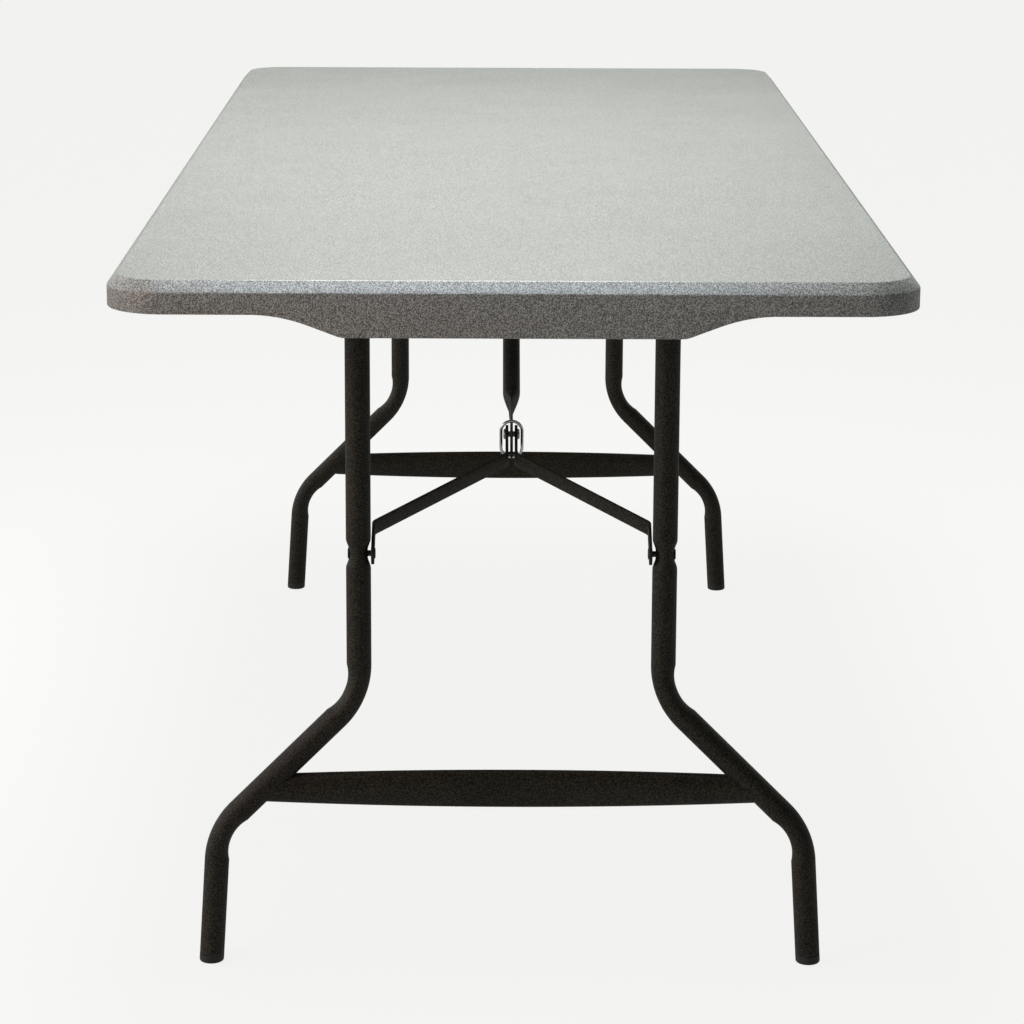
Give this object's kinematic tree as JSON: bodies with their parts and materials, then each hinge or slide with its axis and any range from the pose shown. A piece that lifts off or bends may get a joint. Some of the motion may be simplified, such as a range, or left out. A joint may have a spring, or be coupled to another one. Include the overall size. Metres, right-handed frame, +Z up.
{
  "type": "folding table",
  "caption": "Rectangular folding table with a blow-moulded plastic top, wishbone tube legs, V braces and sliding lock rings.",
  "frame": {"origin": "on the floor under the middle of the top", "axes": "+Z up, +Y along the length towards the rear end, +X across the width to the right"},
  "size_m": [0.762, 1.829, 0.737],
  "materials": {
    "top_plastic": "fine moulded grain, matt",
    "frame_powder_coat": "fine-textured dark bronze powder coat",
    "rail_steel": "dark powder coat",
    "bracket_steel": "dark powder coat",
    "zinc_fastener": "zinc plated",
    "dark_rivet": "powder coated with the frame",
    "ring_chrome": "bright chrome",
    "clip_plastic": "moulded, satin",
    "foot_plastic": "moulded, satin"
  },
  "bodies": {
    "tabletop": {"blow_molded_top": "top_plastic", "left_side_rail": "rail_steel", "right_side_rail": "rail_steel", "rail_screws": "zinc_fastener", "pivot_bracket_screws": "zinc_fastener", "brace_bracket_screws": "zinc_fastener", "leg_clip_screws": "zinc_fastener", "front_left_pivot_bracket": "bracket_steel", "front_left_leg_clip": "clip_plastic", "front_right_pivot_bracket": "bracket_steel", "front_right_leg_clip": "clip_plastic", "rear_left_pivot_bracket": "bracket_steel", "rear_left_leg_clip": "clip_plastic", "rear_right_pivot_bracket": "bracket_steel", "rear_right_leg_clip": "clip_plastic", "front_brace_bracket": "bracket_steel", "front_brace_pin": "zinc_fastener", "rear_brace_bracket": "bracket_steel", "rear_brace_pin": "zinc_fastener"},
    "front_leg_frame": {"front_left_leg": "frame_powder_coat", "front_left_foot_cap": "foot_plastic", "front_left_cross_tube_plug": "foot_plastic", "front_right_leg": "frame_powder_coat", "front_right_foot_cap": "foot_plastic", "front_right_cross_tube_plug": "foot_plastic", "front_cross_tube": "frame_powder_coat", "front_stretcher": "frame_powder_coat", "front_leg_rivets": "dark_rivet"},
    "front_brace_link": {"front_brace_tube": "frame_powder_coat"},
    "front_v_brace": {"front_left_brace_strip": "frame_powder_coat", "front_right_brace_strip": "frame_powder_coat", "front_strip_rivets": "dark_rivet", "front_apex_rivet": "zinc_fastener"},
    "front_ring": {"front_lock_ring": "ring_chrome"},
    "rear_leg_frame": {"rear_left_leg": "frame_powder_coat", "rear_left_foot_cap": "foot_plastic", "rear_left_cross_tube_plug": "foot_plastic", "rear_right_leg": "frame_powder_coat", "rear_right_foot_cap": "foot_plastic", "rear_right_cross_tube_plug": "foot_plastic", "rear_cross_tube": "frame_powder_coat", "rear_stretcher": "frame_powder_coat", "rear_leg_rivets": "dark_rivet"},
    "rear_brace_link": {"rear_brace_tube": "frame_powder_coat"},
    "rear_v_brace": {"rear_left_brace_strip": "frame_powder_coat", "rear_right_brace_strip": "frame_powder_coat", "rear_strip_rivets": "dark_rivet", "rear_apex_rivet": "zinc_fastener"},
    "rear_ring": {"rear_lock_ring": "ring_chrome"}
  },
  "joints": [
    {"name": "front_leg_fold", "type": "hinge", "parent": "tabletop", "child": "front_leg_frame", "pos_m": [0, -0.71832, 0.698], "axis": [1, 0, 0], "range_deg": [0, 91]},
    {"name": "front_brace_swing", "type": "hinge", "parent": "tabletop", "child": "front_brace_link", "pos_m": [0, -0.2764, 0.698], "axis": [-1, 0, 0], "range_deg": [0, 31.01]},
    {"name": "front_brace_fold", "type": "hinge", "parent": "front_brace_link", "child": "front_v_brace", "pos_m": [0, -0.57426, 0.51928], "axis": [1, 0, 0], "range_deg": [0, 180.05]},
    {"name": "front_ring_slide", "type": "slide", "parent": "front_brace_link", "child": "front_ring", "axis": [0, 0.8575, 0.5145], "range_m": [0, 0.1205]},
    {"name": "rear_leg_fold", "type": "hinge", "parent": "tabletop", "child": "rear_leg_frame", "pos_m": [0, 0.71832, 0.698], "axis": [-1, 0, 0], "range_deg": [0, 91]},
    {"name": "rear_brace_swing", "type": "hinge", "parent": "tabletop", "child": "rear_brace_link", "pos_m": [0, 0.2764, 0.698], "axis": [1, 0, 0], "range_deg": [0, 31.01]},
    {"name": "rear_brace_fold", "type": "hinge", "parent": "rear_brace_link", "child": "rear_v_brace", "pos_m": [0, 0.57426, 0.51928], "axis": [-1, 0, 0], "range_deg": [0, 180.05]},
    {"name": "rear_ring_slide", "type": "slide", "parent": "rear_brace_link", "child": "rear_ring", "axis": [0, -0.8575, 0.5145], "range_m": [0, 0.1205]}
  ],
  "couplings": [
    {"joint": "front_brace_swing", "follows": "front_leg_fold", "ratio": 0.34026},
    {"joint": "front_brace_fold", "follows": "front_leg_fold", "ratio": 1.978},
    {"joint": "front_ring_slide", "follows": "front_leg_fold", "m_per_rad": 0.075555},
    {"joint": "rear_brace_swing", "follows": "rear_leg_fold", "ratio": 0.34026},
    {"joint": "rear_brace_fold", "follows": "rear_leg_fold", "ratio": 1.978},
    {"joint": "rear_ring_slide", "follows": "rear_leg_fold", "m_per_rad": 0.075555}
  ]
}
